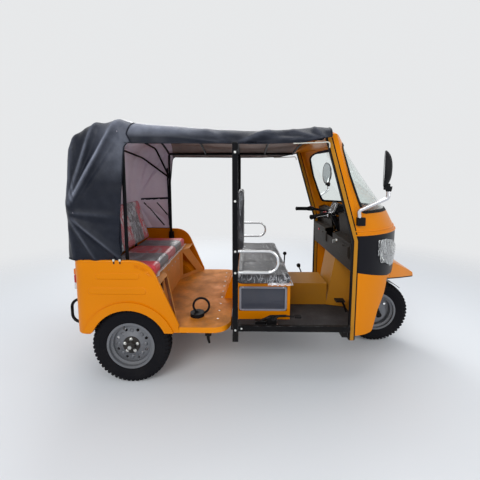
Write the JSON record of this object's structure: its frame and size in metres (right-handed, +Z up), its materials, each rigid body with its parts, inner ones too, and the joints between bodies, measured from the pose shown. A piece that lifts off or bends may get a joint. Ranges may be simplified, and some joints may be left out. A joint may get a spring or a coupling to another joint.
{
  "type": "auto rickshaw",
  "caption": "Three-wheeled passenger vehicle: steel tub with bench, open waist, cab with curved screen and dark nose band, steered front fork, canvas roof and folding hood.",
  "frame": {"origin": "middle of the outline's length and width, on the ground", "axes": "+X forward, +Y to the vehicle's left, +Z up"},
  "size_m": [2.717, 1.501, 1.8459],
  "materials": {
    "body_yellow": "gloss",
    "body_black": "gloss",
    "frame_black": "satin",
    "canvas": "coated",
    "seat_vinyl": "coated",
    "seal_rubber": "matte",
    "mat_rubber": "matte",
    "tyre_rubber": "matte",
    "rim_paint": "satin",
    "screen_glass": "clear",
    "lamp_glass": "clear",
    "lamp_bowl": "polished",
    "chrome_bar": "polished",
    "mirror_face": "polished",
    "black_plastic": "matte",
    "grey_cover": "satin",
    "engine_metal": "rough",
    "red_lens": "gloss",
    "plate_white": "satin"
  },
  "bodies": {
    "chassis": {"arm_loops": "chrome_bar", "backrest_frame": "frame_black", "cab_frame": "body_yellow", "canopy_hood": "canvas", "canopy_roof": "canvas", "chassis_frame": "frame_black", "dashboard": "black_plastic", "door_posts": "body_yellow", "door_seals": "seal_rubber", "driver_backrest": "seat_vinyl", "driver_controls": "frame_black", "driver_cushion": "seat_vinyl", "driver_floor": "frame_black", "driver_seat_box": "body_yellow", "engine_block": "engine_metal", "engine_covers": "grey_cover", "exhaust": "frame_black", "floor_mats": "mat_rubber", "floor_ring": "frame_black", "front_bulkhead": "body_yellow", "headlamp_bowls": "lamp_bowl", "headlamp_lenses": "lamp_glass", "hood_bows": "frame_black", "leaf_springs": "frame_black", "leg_shields": "body_yellow", "mirror_arms": "chrome_bar", "mirror_glasses": "mirror_face", "mirror_heads": "black_plastic", "nose_cowl": "body_yellow", "nose_mask": "body_black", "number_plate": "plate_white", "partition_frame": "frame_black", "passenger_backrest": "seat_vinyl", "passenger_cushion": "seat_vinyl", "passenger_floor": "body_yellow", "rear_axle": "frame_black", "rear_back_panel": "body_yellow", "rear_guards": "frame_black", "rear_side_panel_left": "body_yellow", "rear_side_panel_right": "body_yellow", "roof_rails": "frame_black", "seat_riser": "body_yellow", "side_sills": "frame_black", "tail_lamps": "red_lens", "visor": "body_yellow", "wheel_houses": "body_yellow", "windscreen": "screen_glass", "windscreen_seal": "seal_rubber"},
    "steering": {"fork": "frame_black", "handlebar": "frame_black", "grips": "seal_rubber", "instrument_pod": "black_plastic", "front_mudguard": "body_black"},
    "front_wheel": {"front_rim": "rim_paint", "front_tyre": "tyre_rubber"},
    "rear_right_wheel": {"rear_right_rim": "rim_paint", "rear_right_tyre": "tyre_rubber"},
    "rear_left_wheel": {"rear_left_rim": "rim_paint", "rear_left_tyre": "tyre_rubber"}
  },
  "joints": [
    {"name": "steering", "type": "hinge", "parent": "chassis", "child": "steering", "pos_m": [1.0425, 0, 0.2725], "axis": [-0.4067, 0, 0.9135], "range_deg": [-40, 40]},
    {"name": "front_wheel_spin", "type": "hinge", "parent": "steering", "child": "front_wheel", "pos_m": [1.0535, 0, 0.2725], "axis": [0, 1, 0], "continuous": true},
    {"name": "rear_left_spin", "type": "hinge", "parent": "chassis", "child": "rear_left_wheel", "pos_m": [-0.8965, 0.576, 0.2725], "axis": [0, 1, 0], "continuous": true},
    {"name": "rear_right_spin", "type": "hinge", "parent": "chassis", "child": "rear_right_wheel", "pos_m": [-0.8965, -0.576, 0.2725], "axis": [0, 1, 0], "continuous": true}
  ]
}
